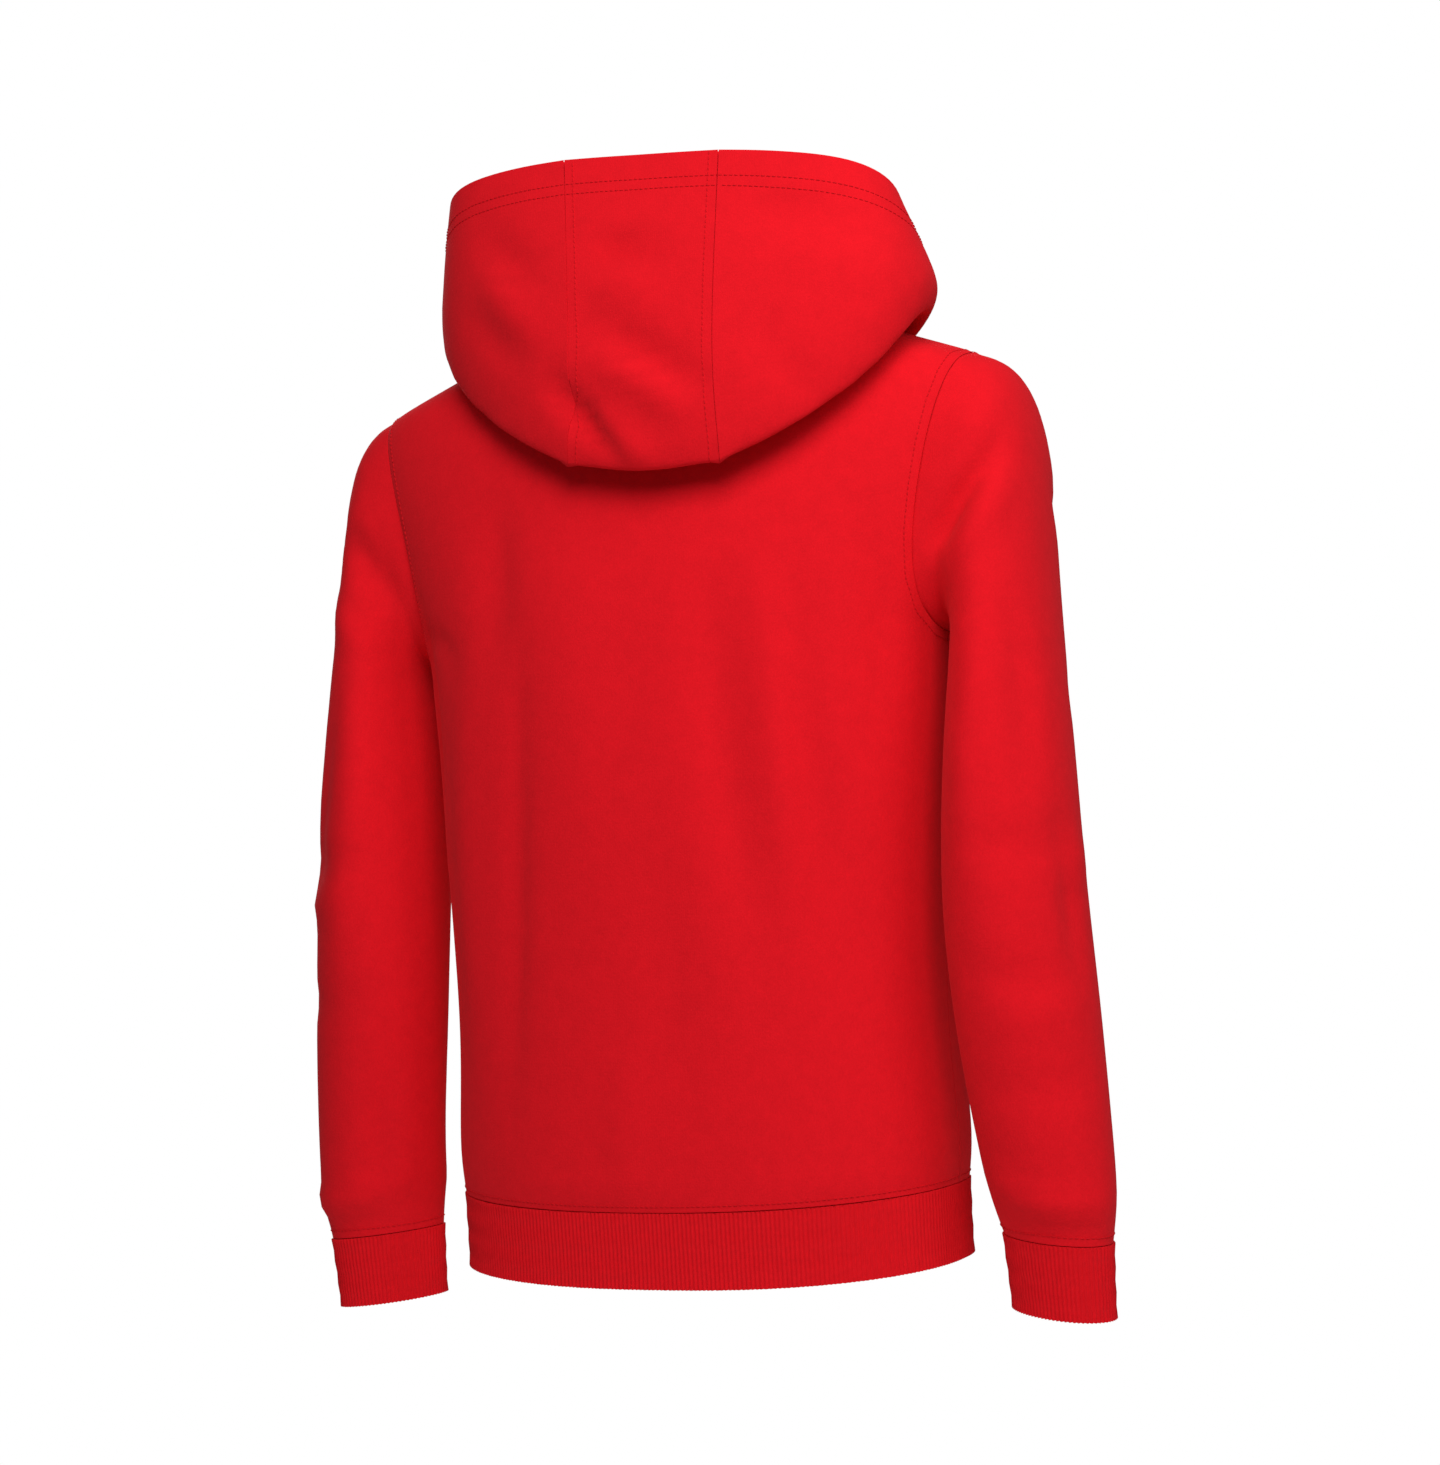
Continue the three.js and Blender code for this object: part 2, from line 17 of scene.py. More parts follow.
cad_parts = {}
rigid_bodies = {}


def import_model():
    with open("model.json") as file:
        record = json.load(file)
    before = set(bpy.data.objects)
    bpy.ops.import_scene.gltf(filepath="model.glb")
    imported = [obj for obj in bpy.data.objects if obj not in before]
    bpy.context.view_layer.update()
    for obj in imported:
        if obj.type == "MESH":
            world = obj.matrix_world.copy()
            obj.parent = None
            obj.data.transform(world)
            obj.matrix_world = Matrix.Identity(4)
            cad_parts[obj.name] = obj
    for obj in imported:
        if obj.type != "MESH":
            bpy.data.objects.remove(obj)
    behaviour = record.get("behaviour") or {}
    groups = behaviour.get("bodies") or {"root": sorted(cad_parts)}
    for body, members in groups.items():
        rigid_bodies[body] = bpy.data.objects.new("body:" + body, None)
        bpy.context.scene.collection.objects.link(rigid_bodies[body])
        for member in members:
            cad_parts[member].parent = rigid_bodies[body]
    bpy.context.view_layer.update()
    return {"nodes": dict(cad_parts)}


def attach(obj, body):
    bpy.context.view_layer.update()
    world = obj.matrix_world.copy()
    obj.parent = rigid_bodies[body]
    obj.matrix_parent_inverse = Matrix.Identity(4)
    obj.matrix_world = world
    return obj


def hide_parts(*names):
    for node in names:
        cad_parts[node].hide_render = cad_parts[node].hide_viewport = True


bl_info = {
    "name": "Kids hoodie",
    "version": (1, 0, 0),
    "blender": (4, 5, 0),
    "location": "View3D > Sidebar > Hoodie",
    "description": "Cloth, ribs and sewing of a child's hoodie over its frame",
    "category": "Object",
}

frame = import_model()
MM = 0.001
BODY = "root"

PANELS = ["back", "front"]
SLEEVES = ["sleeve_left", "sleeve_right"]
HOOD = ["hood_left", "hood_centre", "hood_right"]
RIBS = ["cuff_left", "cuff_right", "hem_band"]
# Thicknesses of the frame's walls: fleece, rib and the turned edge of the hood.
WALLS = (2.0, 2.4, 3.4)

# A seam on each side of its middle, in millimetres: the frame's panels stand 0.3 apart, their inner
# edges close up, and their outer edges open and dip, which reads as the dark line of the seam.
SEAM = {"close": 0.17, "open": 0.15, "dip": 0.6}

# The line up the middle of each hollow form, from which its cloth swells outwards: x and y at z.
BODY_MIDDLE = [
    {"z": -560, "x": 0, "y": 12},
    {"z": -200, "x": 0, "y": 0},
    {"z": 20, "x": 0, "y": 0},
]
SLEEVE_MIDDLE = [
    {"z": -590, "x": 214, "y": 25},
    {"z": -400, "x": 206, "y": 32},
    {"z": -270, "x": 200, "y": 25},
    {"z": -150, "x": 195, "y": 0},
    {"z": -60, "x": 175, "y": -5},
]
HOOD_MIDDLE = [
    {"z": -110, "x": -18, "y": 10},
    {"z": 90, "x": -18, "y": 0},
]

# Creases and swellings, placed one by one. Each runs through its points. Its depth is below 0 for a
# trough and above 0 for a ridge, and its width is from its middle to where it has mostly faded.
FOLDS = {
    "back": [
        {"through": [(-57, 97, -150), (-60, 97, -220), (-65, 97, -292), (-80, 97, -390)],
         "width": 17, "depth": -4.2},
        {"through": [(-84, 95, -150), (-89, 95, -244), (-94, 95, -330)], "width": 12, "depth": 2.0},
        {"through": [(-106, 92, -146), (-107, 92, -224), (-115, 92, -311), (-126, 92, -425)],
         "width": 13, "depth": -3.6},
        {"through": [(-122, 90, -215), (-133, 90, -301), (-144, 88, -365)], "width": 10, "depth": 1.8},
        {"through": [(-124, 88, -245), (-135, 88, -323), (-146, 84, -400)], "width": 9, "depth": -2.2},
        {"through": [(-138, 70, -118), (-146, 62, -182), (-149, 60, -250)], "width": 10, "depth": -2.4},
        {"through": [(92, 88, -96), (86, 88, -147), (85, 88, -205)], "width": 17, "depth": -3.6},
        {"through": [(66, 92, -190), (70, 92, -291), (78, 92, -383), (86, 92, -470)],
         "width": 10, "depth": -2.4},
        {"through": [(106, 84, -180), (112, 82, -300), (114, 82, -464)], "width": 17, "depth": 3.0},
        {"through": [(36, 96, -120), (30, 98, -230), (24, 98, -340)], "width": 26, "depth": 1.8},
        {"through": [(-18, 98, -300), (-24, 98, -400), (-30, 98, -480)], "width": 18, "depth": -1.4},
        {"through": [(4, 98, -420), (10, 98, -470), (8, 98, -508)], "width": 12, "depth": 1.2},
        {"through": [(146, 40, -150), (143, 50, -215), (148, 56, -300)], "width": 11, "depth": -2.6},
        {"through": [(150, 38, -178), (128, 72, -186), (106, 84, -208)], "width": 9, "depth": -1.8},
        {"through": [(-140, 56, -498), (-100, 84, -503), (-50, 95, -505)], "width": 7, "depth": 1.6},
        {"through": [(-30, 97, -502), (30, 99, -503), (90, 90, -500)], "width": 8, "depth": 1.4},
        {"through": [(60, 94, -516), (100, 86, -514), (140, 60, -510)], "width": 7, "depth": 1.3},
    ],
    "front": [
        {"through": [(30, -98, -130), (26, -96, -280), (16, -88, -450)], "width": 18, "depth": 2.6},
        {"through": [(72, -92, -150), (66, -92, -300), (58, -84, -470)], "width": 15, "depth": -3.8},
        {"through": [(-58, -94, -170), (-64, -92, -320), (-54, -84, -440)], "width": 16, "depth": -3.2},
        {"through": [(-104, -78, -200), (-110, -76, -340), (-102, -68, -470)], "width": 15, "depth": 2.6},
        {"through": [(112, -74, -190), (114, -72, -310), (108, -64, -430)], "width": 13, "depth": 2.2},
        {"through": [(-20, -96, -300), (-14, -92, -400), (-20, -86, -490)], "width": 14, "depth": -1.8},
        {"through": [(-150, -40, -160), (-120, -72, -168), (-92, -86, -186)], "width": 9, "depth": -2.2},
        {"through": [(150, -40, -164), (124, -70, -176), (98, -84, -200)], "width": 9, "depth": -2.0},
        {"through": [(-118, -58, -90), (-84, -78, -120), (-56, -88, -150)], "width": 11, "depth": -1.8},
        {"through": [(118, -58, -94), (86, -78, -128), (60, -88, -160)], "width": 11, "depth": -1.7},
        {"through": [(-150, -30, -498), (-90, -72, -503), (-30, -84, -505)], "width": 7, "depth": 1.5},
        {"through": [(0, -86, -502), (60, -80, -503), (120, -58, -499)], "width": 8, "depth": 1.3},
    ],
    "sleeve_right": [
        {"through": [(-160, 56, -160), (-184, 57, -133), (-206, 50, -108), (-218, 41, -94)],
         "width": 8.5, "depth": -7.8},
        {"through": [(-168, 60, -180), (-192, 58, -152), (-212, 50, -128), (-224, 38, -112)],
         "width": 10, "depth": 2.6},
        {"through": [(-186, 50, -92), (-205, 44, -78), (-220, 30, -66)], "width": 9, "depth": 2.0},
        {"through": [(-226, 58, -180), (-223, 62, -247), (-217, 62, -306)], "width": 12, "depth": -3.0},
        {"through": [(-196, 70, -200), (-192, 74, -270), (-190, 74, -340)], "width": 11, "depth": 2.0},
        {"through": [(-236, 46, -300), (-242, 48, -351), (-240, 48, -400)], "width": 10, "depth": -2.6},
        {"through": [(-190, 66, -314), (-214, 66, -323), (-243, 46, -319)], "width": 9, "depth": -2.2},
        {"through": [(-228, 60, -338), (-243, 40, -330), (-246, 10, -326)], "width": 9, "depth": 2.0},
        {"through": [(-186, 66, -380), (-210, 70, -392), (-238, 54, -396)], "width": 9, "depth": -1.8},
        {"through": [(-196, 70, -404), (-220, 68, -412), (-248, 40, -408)], "width": 9, "depth": 1.8},
        {"through": [(-188, 60, -448), (-214, 66, -452), (-246, 44, -446)], "width": 9, "depth": -2.0},
        {"through": [(-184, 46, -498), (-206, 62, -511), (-236, 58, -518), (-256, 34, -516)],
         "width": 8, "depth": 3.6},
        {"through": [(-178, 10, -500), (-196, -14, -512), (-230, -18, -514), (-252, 6, -510)],
         "width": 9, "depth": 2.4},
        {"through": [(-190, 56, -528), (-216, 62, -531), (-248, 44, -530)], "width": 6, "depth": -2.2},
        {"through": [(-222, -20, -120), (-206, -52, -150), (-180, -58, -176)], "width": 10, "depth": -3.8},
        {"through": [(-230, -8, -230), (-206, -26, -262), (-178, -20, -288)], "width": 11, "depth": -3.0},
        {"through": [(-238, -4, -330), (-212, -22, -350), (-182, -12, -368)], "width": 10, "depth": -2.4},
        {"through": [(-236, -6, -420), (-206, -16, -436), (-180, 0, -450)], "width": 9, "depth": -2.2},
    ],
    "sleeve_left": [
        {"through": [(166, 56, -160), (188, 58, -134), (212, 46, -106)], "width": 11, "depth": -4.4},
        {"through": [(176, 62, -190), (204, 60, -170), (226, 40, -146)], "width": 10, "depth": 2.2},
        {"through": [(182, 66, -160), (190, 72, -251), (210, 70, -382)], "width": 11, "depth": 2.2},
        {"through": [(206, 66, -190), (214, 66, -270), (222, 62, -340)], "width": 10, "depth": -2.2},
        {"through": [(188, 62, -430), (196, 64, -485), (206, 60, -515)], "width": 10, "depth": -2.6},
        {"through": [(184, 68, -300), (206, 72, -314), (236, 50, -308)], "width": 9, "depth": -2.0},
        {"through": [(196, 70, -330), (222, 66, -338), (246, 36, -330)], "width": 9, "depth": 1.9},
        {"through": [(190, 66, -388), (214, 70, -398), (242, 44, -392)], "width": 9, "depth": -1.8},
        {"through": [(182, 44, -498), (206, 60, -510), (236, 56, -516), (256, 32, -514)],
         "width": 8, "depth": 3.4},
        {"through": [(176, 10, -500), (196, -14, -512), (230, -18, -514), (252, 6, -510)],
         "width": 9, "depth": 2.4},
        {"through": [(190, 56, -529), (216, 62, -531), (248, 44, -530)], "width": 6, "depth": -2.0},
        {"through": [(218, -18, -118), (206, -52, -146), (180, -58, -170)], "width": 10, "depth": -5.4},
        {"through": [(222, -22, -140), (204, -56, -172), (176, -58, -196)], "width": 9, "depth": 2.6},
        {"through": [(230, -8, -240), (208, -24, -270), (180, -20, -300)], "width": 11, "depth": -3.0},
        {"through": [(238, -4, -336), (212, -22, -356), (182, -12, -374)], "width": 10, "depth": -2.2},
        {"through": [(236, -6, -410), (208, -16, -424), (182, 0, -436)], "width": 9, "depth": -2.2},
    ],
    "hood": [
        {"through": [(10, 108, 30), (-16, 108, 19), (-50, 108, 12)], "width": 6, "depth": -5.0},
        {"through": [(6, 108, 15), (-18, 108, 6), (-46, 108, 0)], "width": 7, "depth": 3.0},
        {"through": [(14, 109, -15), (-23, 109, -33), (-68, 109, -60)], "width": 8, "depth": -4.2},
        {"through": [(4, 109, -34), (-24, 109, -50), (-56, 109, -74)], "width": 8, "depth": 3.2},
        {"through": [(34, 108, -42), (16, 108, -65), (-17, 108, -95)], "width": 7, "depth": -5.6},
        {"through": [(88, 98, 28), (59, 100, 0), (34, 104, -22)], "width": 10, "depth": 3.2},
        {"through": [(100, 88, 2), (73, 98, -19), (42, 104, -40)], "width": 9, "depth": -1.8},
        {"through": [(92, 94, 50), (64, 100, 28), (34, 104, 12)], "width": 10, "depth": -2.4},
        {"through": [(4, 109, -66), (-10, 109, -84), (-30, 108, -100)], "width": 8, "depth": 3.4},
        {"through": [(-82, 98, 47), (-111, 90, 33), (-146, 66, 23)], "width": 12, "depth": -2.6},
        {"through": [(-100, 90, 12), (-132, 72, 2), (-160, 46, -6)], "width": 13, "depth": 1.8},
        {"through": [(-84, 100, -20), (-104, 92, -40), (-114, 84, -62)], "width": 13, "depth": -2.0},
        {"through": [(-138, -2, 8), (-116, -42, -6), (-80, -70, -28)], "width": 9, "depth": -2.4},
        {"through": [(122, 6, 16), (106, -38, -2), (72, -70, -26)], "width": 9, "depth": -2.4},
    ],
}

# The middle line of each node's form, and -1 where that line's x is mirrored.
MIDDLES = {
    "back": (BODY_MIDDLE, 1),
    "front": (BODY_MIDDLE, 1),
    "hem_band": (BODY_MIDDLE, 1),
    "sleeve_left": (SLEEVE_MIDDLE, 1),
    "sleeve_right": (SLEEVE_MIDDLE, -1),
    "cuff_left": (SLEEVE_MIDDLE, 1),
    "cuff_right": (SLEEVE_MIDDLE, -1),
    "hood_left": (HOOD_MIDDLE, 1),
    "hood_centre": (HOOD_MIDDLE, 1),
    "hood_right": (HOOD_MIDDLE, 1),
}

# The cut of each piece: its width and length before sewing, in millimetres, and its area in square
# centimetres. A tube's width is all the way round.
CUTS = {
    "back": {"width": 440, "length": 530, "area": 2040},
    "front": {"width": 440, "length": 520, "area": 1975},
    "sleeve_left": {"width": 330, "length": 520, "area": 1225},
    "sleeve_right": {"width": 330, "length": 520, "area": 1225},
    "hood_left": {"width": 240, "length": 290, "area": 465},
    "hood_centre": {"width": 98, "length": 290, "area": 270},
    "hood_right": {"width": 240, "length": 300, "area": 490},
    "cuff_left": {"width": 172, "length": 43, "area": 73},
    "cuff_right": {"width": 172, "length": 43, "area": 73},
    "hem_band": {"width": 810, "length": 43, "area": 347},
}

# Rows of sewing: the piece that a row lies on, what its distance is measured from (the seam with
# another piece or the open edge), and how far off it is.
EDGE = "open edge"
STITCH_ROWS = [
    {"on": "hood_left", "from": EDGE, "off": 15.0},
    {"on": "hood_centre", "from": EDGE, "off": 15.0},
    {"on": "hood_right", "from": EDGE, "off": 15.0},
    {"on": "hood_left", "from": EDGE, "off": 21.0},
    {"on": "hood_centre", "from": EDGE, "off": 21.0},
    {"on": "hood_right", "from": EDGE, "off": 21.0},
    {"on": "hood_centre", "from": "hood_left", "off": 5.5},
    {"on": "hood_centre", "from": "hood_right", "off": 5.5},
    {"on": "back", "from": "sleeve_left", "off": 5.0},
    {"on": "back", "from": "sleeve_right", "off": 5.0},
    {"on": "front", "from": "sleeve_left", "off": 5.0},
    {"on": "front", "from": "sleeve_right", "off": 5.0},
    {"on": "back", "from": "hem_band", "off": 3.8},
    {"on": "front", "from": "hem_band", "off": 3.8},
    {"on": "sleeve_left", "from": "cuff_left", "off": 5.0},
    {"on": "sleeve_right", "from": "cuff_right", "off": 5.0},
]


class ClothSizes(bpy.types.PropertyGroup):
    """The fleece panels."""

    fleece: StringProperty(name="Fleece", description="Colour of the fleece, sRGB hex", default="#e1131f")
    fold_strength: FloatProperty(
        name="Fold strength", description="Multiplies the depth of every crease",
        default=1.3, min=0.0, max=2.0,
    )
    fold_margin: FloatProperty(
        name="Fold margin", description="Distance from a sewn edge at which a crease is at its full depth",
        default=14 * MM, unit="LENGTH",
    )
    levels: IntProperty(name="Levels", description="Subdivision of each panel", default=2, min=1, max=3)
    knit_pitch: FloatProperty(
        name="Knit pitch", description="Spacing of the knit's loops, coarser than real so that it shows",
        default=1.3 * MM, unit="LENGTH",
    )


class RibSizes(bpy.types.PropertyGroup):
    """The ribbed cuffs and hem band."""

    # A little deeper than the fleece: painted shade of the rib's grooves.
    rib: StringProperty(name="Rib", description="Colour of the rib knit, sRGB hex", default="#de131e")
    waist: FloatProperty(
        name="Draw-in", description="How far a band draws in between its edges",
        default=0.8 * MM, unit="LENGTH",
    )
    tuck: FloatProperty(
        name="Tuck", description="How far a band's sewn edge sits inside the cloth above it",
        default=1.3 * MM, unit="LENGTH",
    )
    relief: FloatProperty(name="Relief", description="Extra rise of each rib before smoothing", default=0.6)


class SewingSizes(bpy.types.PropertyGroup):
    """The rows of stitches."""

    # The thread's deeper red is partly its own colour and partly painted shade, for the dark line of a row.
    thread: StringProperty(name="Thread", description="Colour of the thread, sRGB hex", default="#cf121d")
    stitch: FloatProperty(name="Stitch", description="Length of one stitch", default=2.3 * MM, unit="LENGTH")
    pitch: FloatProperty(
        name="Pitch", description="From one stitch to the next", default=3.1 * MM, unit="LENGTH"
    )
    width: FloatProperty(name="Width", description="Width of the thread", default=0.7 * MM, unit="LENGTH")


class StageSizes(bpy.types.PropertyGroup):
    """The camera, the light and the floor."""

    azimuth: FloatProperty(
        name="Azimuth", description="Camera's place round from the front",
        default=math.radians(205), unit="ROTATION",
    )
    roll: FloatProperty(
        name="Roll", description="Turn of the picture", default=math.radians(3.2), unit="ROTATION"
    )
    distance: FloatProperty(name="Distance", description="Camera to garment", default=1.8, unit="LENGTH")
    target: FloatProperty(name="Target", description="Height looked at", default=-0.287, unit="LENGTH")
    floor: FloatProperty(name="Floor", description="Height of the floor", default=-0.9, unit="LENGTH")
    backdrop: StringProperty(name="Backdrop", description="Colour of the floor, sRGB hex", default="#fbfbfb")


def linear(code):
    """An sRGB hex colour as linear red, green, blue and alpha."""
    parts = [int(code[i : i + 2], 16) / 255 for i in (1, 3, 5)]
    return [c / 12.92 if c <= 0.04045 else ((c + 0.055) / 1.055) ** 2.4 for c in parts] + [1.0]


def shaded(code, factor):
    """The same linear colour, darker or lighter."""
    return [min(1.0, c * factor) for c in linear(code)[:3]] + [1.0]


def add_node(owner, kind, settings=None, inputs=None):
    """Adds a node to a material or world, with its settings, and with its inputs as values or as
    another node's output."""
    node = owner.node_tree.nodes.new(kind)
    for name, value in (settings or {}).items():
        setattr(node, name, value)
    for name, value in (inputs or {}).items():
        if isinstance(value, bpy.types.NodeSocket):
            owner.node_tree.links.new(value, node.inputs[name])
        else:
            node.inputs[name].default_value = value
    return node


def new_material(name):
    """A material without any nodes yet."""
    material = bpy.data.materials.new(name)
    material.use_nodes = True
    material.node_tree.nodes.clear()
    return material


def finish_material(material, shader):
    """The material with its shader as what shows on the surface."""
    output = add_node(material, "ShaderNodeOutputMaterial")
    material.node_tree.links.new(shader.outputs[0], output.inputs["Surface"])
    return material


def knit_surface(material, colour, height, strength, rise, sheen):
    """The finish that both knits share: fully matte, with loops that stand up by rise and a soft red
    glow of fibres at grazing angles."""
    bump = add_node(
        material, "ShaderNodeBump",
        inputs={"Height": height.outputs[0], "Strength": strength, "Distance": rise},
    )
    shader = add_node(
        material, "ShaderNodeBsdfPrincipled",
        inputs={
            "Base Color": colour.outputs["Color"], "Roughness": 0.95, "Specular IOR Level": 0.1,
            "Sheen Weight": sheen, "Sheen Roughness": 0.5, "Sheen Tint": (1.0, 0.12, 0.14, 1.0),
            "Normal": bump.outputs[0],
        },
    )
    return finish_material(material, shader)


def brushed_fleece(sizes):
    """Cotton and polyester sweatshirt fleece, its smooth face out: matte, with a soft bright edge
    where the light grazes its nap, faint mottling from the yarn and fine rows of knit loops."""
    mottle_size, yarn_size = 9 * MM, 1.1 * MM  # the yarn is coarser than real, so that it shows
    across_scale, up_scale = 1 / sizes.knit_pitch, 0.75 / sizes.knit_pitch  # loops taller than wide
    material = new_material("brushed_fleece")
    place = add_node(material, "ShaderNodeTexCoord").outputs["Object"]
    mottle = add_node(
        material, "ShaderNodeTexNoise",
        inputs={"Vector": place, "Scale": 1 / mottle_size, "Detail": 6.0, "Roughness": 0.7},
    )
    yarn = add_node(
        material, "ShaderNodeTexNoise",
        inputs={"Vector": place, "Scale": 1 / yarn_size, "Detail": 3.0, "Roughness": 0.65},
    )
    mixed = add_node(
        material, "ShaderNodeMath", {"operation": "ADD"}, {0: mottle.outputs["Fac"], 1: yarn.outputs["Fac"]}
    )
    tone = add_node(
        material, "ShaderNodeMapRange",
        inputs={"Value": mixed.outputs[0], "From Min": 0.7, "From Max": 1.3, "To Min": 0.0, "To Max": 1.0},
    )
    colour = add_node(material, "ShaderNodeValToRGB", inputs={"Fac": tone.outputs[0]})
    dark, light = colour.color_ramp.elements
    dark.color = shaded(sizes.fleece, 0.93)
    light.color = shaded(sizes.fleece, 1.07)
    stretched = add_node(
        material, "ShaderNodeMapping",
        inputs={"Vector": place, "Scale": (across_scale, across_scale, up_scale)},
    )
    loops = add_node(
        material, "ShaderNodeTexVoronoi", {"feature": "SMOOTH_F1"},
        {"Vector": stretched.outputs[0], "Scale": 1.0, "Smoothness": 0.6, "Randomness": 0.55},
    )
    height = add_node(
        material, "ShaderNodeMath", {"operation": "SUBTRACT"},
        {0: yarn.outputs["Fac"], 1: loops.outputs["Distance"]},
    )
    return knit_surface(material, colour, height, strength=0.28, rise=0.35 * MM, sheen=0.12)


def rib_knit(sizes):
    """Cotton and elastane 2x2 rib: a little deeper in colour than the fleece because its grooves
    hold shade, with short knit loops across each rib."""
    loop_width, loop_height, mottle_size = 0.9 * MM, 1.1 * MM, 4 * MM
    material = new_material("rib_knit")
    place = add_node(material, "ShaderNodeTexCoord").outputs["Object"]
    squashed = add_node(
        material, "ShaderNodeMapping",
        inputs={"Vector": place, "Scale": (1 / loop_width, 1 / loop_width, 1 / loop_height)},
    )
    loops = add_node(
        material, "ShaderNodeTexVoronoi", {"feature": "SMOOTH_F1"},
        {"Vector": squashed.outputs[0], "Scale": 1.0, "Smoothness": 0.5, "Randomness": 0.4},
    )
    mottle = add_node(
        material, "ShaderNodeTexNoise",
        inputs={"Vector": place, "Scale": 1 / mottle_size, "Detail": 5.0, "Roughness": 0.7},
    )
    colour = add_node(material, "ShaderNodeValToRGB", inputs={"Fac": mottle.outputs["Fac"]})
    dark, light = colour.color_ramp.elements
    dark.position, light.position = 0.3, 0.7
    dark.color = shaded(sizes.rib, 0.94)
    light.color = shaded(sizes.rib, 1.06)
    height = add_node(
        material, "ShaderNodeMath", {"operation": "SUBTRACT"},
        {0: mottle.outputs["Fac"], 1: loops.outputs["Distance"]},
    )
    return knit_surface(material, colour, height, strength=0.16, rise=0.3 * MM, sheen=0.1)


def sewing_thread(sizes):
    """Spun polyester thread, a touch smoother than the cloth. Its deeper red is partly its own colour and
    partly painted shade, so that a row of stitches reads as a fine dark line, with painted small highlights
    in it."""
    twist_size = 0.5 * MM
    material = new_material("sewing_thread")
    place = add_node(material, "ShaderNodeTexCoord").outputs["Object"]
    twist = add_node(
        material, "ShaderNodeTexNoise", inputs={"Vector": place, "Scale": 1 / twist_size, "Detail": 2.0}
    )
    colour = add_node(material, "ShaderNodeValToRGB", inputs={"Fac": twist.outputs["Fac"]})
    dark, light = colour.color_ramp.elements
    # The twist's darker flecks add painted shade to the dark line, and its lighter flecks are painted small
    # highlights.
    dark.color = shaded(sizes.thread, 0.85)
    light.color = shaded(sizes.thread, 1.2)
    shader = add_node(
        material, "ShaderNodeBsdfPrincipled",
        inputs={"Base Color": colour.outputs["Color"], "Roughness": 0.85, "Specular IOR Level": 0.12},
    )
    return finish_material(material, shader)


def seamless_paper(sizes):
    """Matte white background paper."""
    material = new_material("seamless_paper")
    shader = add_node(
        material, "ShaderNodeBsdfPrincipled",
        inputs={"Base Color": linear(sizes.backdrop), "Roughness": 0.95, "Specular IOR Level": 0.1},
    )
    return finish_material(material, shader)


def is_rim(face):
    """Whether a face of a wall joins its two skins: one of its edges is as long as the wall is thick,
    or it lies on the garment's middle plane, where the two sides of the hood meet in front."""
    tolerance = 0.03
    lengths = [edge.calc_length() / MM for edge in face.edges]
    if any(abs(length - wall) < tolerance for length in lengths for wall in WALLS):
        return True
    return all(abs(vert.co.x) < 0.2 * MM for vert in face.verts)


def is_band_rim(face):
    """The same for a cuff or the hem band, whose rims are about level."""
    return abs(face.normal.z) > 0.7


def merged_wall(node):
    """A bmesh of a node's wall with its loose triangles merged, the faces of its rims, and the edges
    that bound those."""
    bm = bmesh.new()
    bm.from_mesh(frame["nodes"][node].data)
    bm.edges.layers.float.new("crease_edge")
    bm.verts.layers.float.new("crease_vert")
    bmesh.ops.remove_doubles(bm, verts=bm.verts, dist=0.002 * MM)
    test = is_band_rim if node in RIBS else is_rim
    rims = {face for face in bm.faces if test(face)}
    bounds = {edge for edge in bm.edges if sum(face in rims for face in edge.link_faces) == 1}
    return bm, rims, bounds


def crease_corners(bm, bounds):
    """Holds each vertex where the bound of a rim turns sharply, by more than about 40 degrees."""
    sharpest = -0.75
    crease = bm.verts.layers.float["crease_vert"]
    for vert in bm.verts:
        beside = [edge.other_vert(vert).co for edge in vert.link_edges if edge in bounds]
        ways = [(place - vert.co).normalized() for place in beside]
        if len(ways) != 2 or ways[0].dot(ways[1]) > sharpest:
            vert[crease] = 1.0 if ways else 0.0


def shape_rims(node, rims):
    """Closes each seam on its inner side, where the frame leaves a gap, and opens a notch outside."""
    moves = {}
    for vert in {vert for face in rims for vert in face.verts}:
        rim, skin = Vector(), Vector()
        for face in vert.link_faces:
            target = rim if face in rims else skin
            target += face.normal * face.calc_area()
        away = outward(np.array([vert.co]) / MM, *MIDDLES[node])[0]
        if skin.dot(Vector(away)) < 0:
            moves[vert] = rim.normalized() * SEAM["close"]
        elif node not in RIBS:
            moves[vert] = -rim.normalized() * SEAM["open"] - skin.normalized() * SEAM["dip"]
    for vert, move in moves.items():
        vert.co += move * MM


def wall_copy(node, rows=0):
    """A bmesh of a node's wall: merged, its rims creased and its triangles joined to quads, with more
    rows up its height where asked."""
    bm, rims, bounds = merged_wall(node)
    shape_rims(node, rims)
    crease = bm.edges.layers.float["crease_edge"]
    for edge in bounds:
        edge[crease] = 1.0
        edge.smooth = False
    crease_corners(bm, bounds)
    bmesh.ops.join_triangles(
        bm, faces=[face for face in bm.faces if face not in rims], angle_face_threshold=math.radians(60),
        angle_shape_threshold=math.radians(180), cmp_seam=False, cmp_sharp=False, cmp_uvs=False,
        cmp_vcols=False, cmp_materials=False,
    )
    if rows:
        tall = 20 * MM
        inner = [edge for edge in bm.edges if edge not in bounds]
        upright = [edge for edge in inner if abs((edge.verts[0].co - edge.verts[1].co).z) > tall]
        bmesh.ops.subdivide_edges(bm, edges=upright, cuts=rows, use_grid_fill=True)
    return bm


